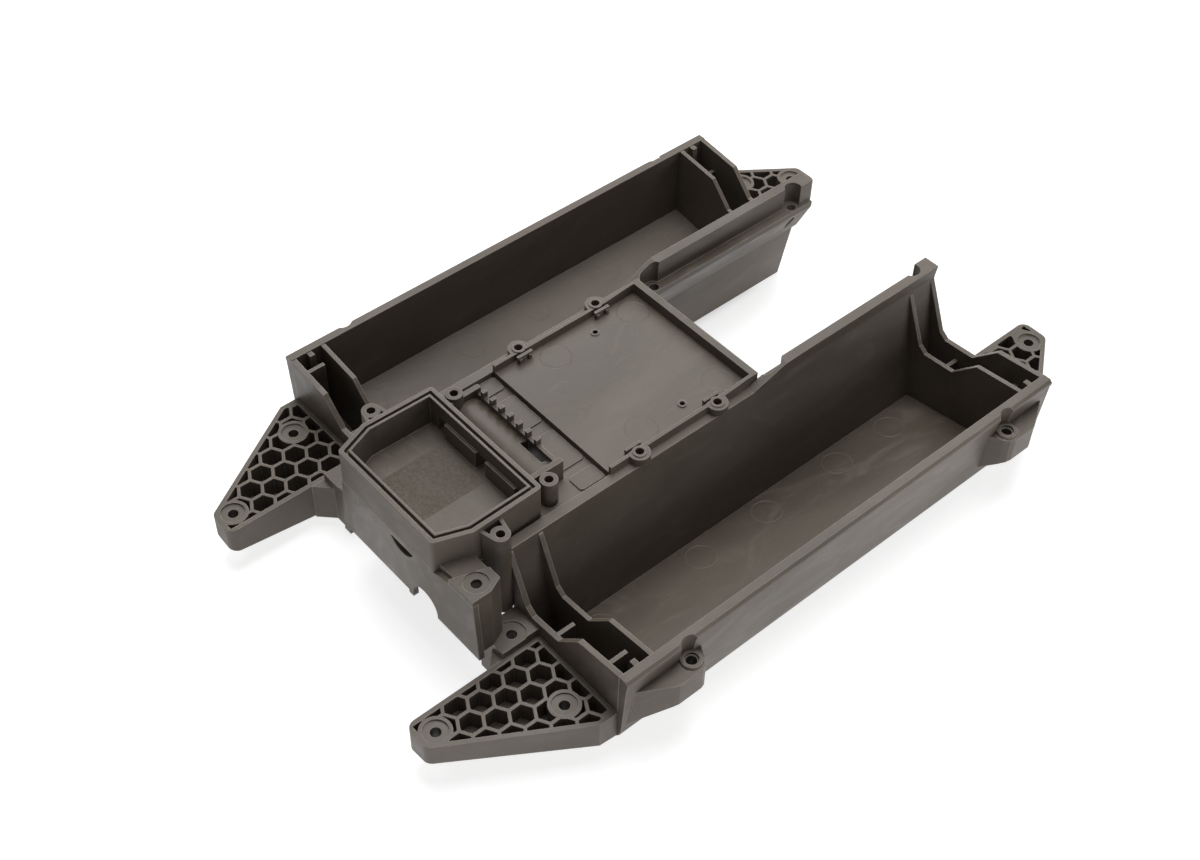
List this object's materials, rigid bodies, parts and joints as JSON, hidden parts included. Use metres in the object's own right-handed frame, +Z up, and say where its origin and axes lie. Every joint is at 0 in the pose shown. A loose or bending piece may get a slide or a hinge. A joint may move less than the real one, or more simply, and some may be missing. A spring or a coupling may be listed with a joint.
{
  "type": "radio-controlled truck chassis tub",
  "caption": "Moulded chassis tub for a large radio-controlled truck, with tilted side battery bays, a raised centre deck, a controller tray, a receiver box and honeycomb corner brackets.",
  "frame": {"origin": "under the middle of the tub, on the surface that the tub rests on", "axes": "+X toward the right-hand side, +Y toward the rear, +Z up; the receiver box is at the front (-Y)"},
  "size_m": [0.2124, 0.311, 0.0662],
  "materials": {
    "moulding": "satin glass-filled nylon",
    "floor_moulding": "satin glass-filled nylon with flow marks and ejector-pin rings",
    "receiver_box_moulding": "satin glass-filled nylon, textured floor"
  },
  "bodies": {
    "root": {"board_clips": "moulding", "deck_pads": "moulding", "front_deck": "moulding", "front_wall": "moulding", "left_bay_floor": "floor_moulding", "left_front_end_wall": "moulding", "left_front_horn": "moulding", "left_front_outer_lug": "moulding", "left_front_partition": "moulding", "left_front_pocket_ribs": "moulding", "left_front_post": "moulding", "left_front_shelf": "moulding", "left_front_side_wall": "moulding", "left_inner_wall": "moulding", "left_outer_wall": "moulding", "left_rear_end_wall": "moulding", "left_rear_horn": "moulding", "left_rear_outer_lug": "moulding", "left_rear_partition": "moulding", "left_rear_pocket_ribs": "moulding", "left_rear_post": "moulding", "receiver_box": "receiver_box_moulding", "right_bay_floor": "floor_moulding", "right_front_end_wall": "moulding", "right_front_horn": "moulding", "right_front_outer_lug": "moulding", "right_front_partition": "moulding", "right_front_pocket_ribs": "moulding", "right_front_post": "moulding", "right_front_shelf": "moulding", "right_front_side_wall": "moulding", "right_inner_wall": "moulding", "right_outer_wall": "moulding", "right_rear_end_wall": "moulding", "right_rear_horn": "moulding", "right_rear_outer_lug": "moulding", "right_rear_partition": "moulding", "right_rear_pocket_ribs": "moulding", "right_rear_post": "moulding", "right_side_shelf": "moulding", "tray_bosses": "moulding", "tray_floor": "floor_moulding", "tray_wall": "moulding", "wire_channel": "moulding", "wire_comb": "moulding"}
  },
  "joints": []
}
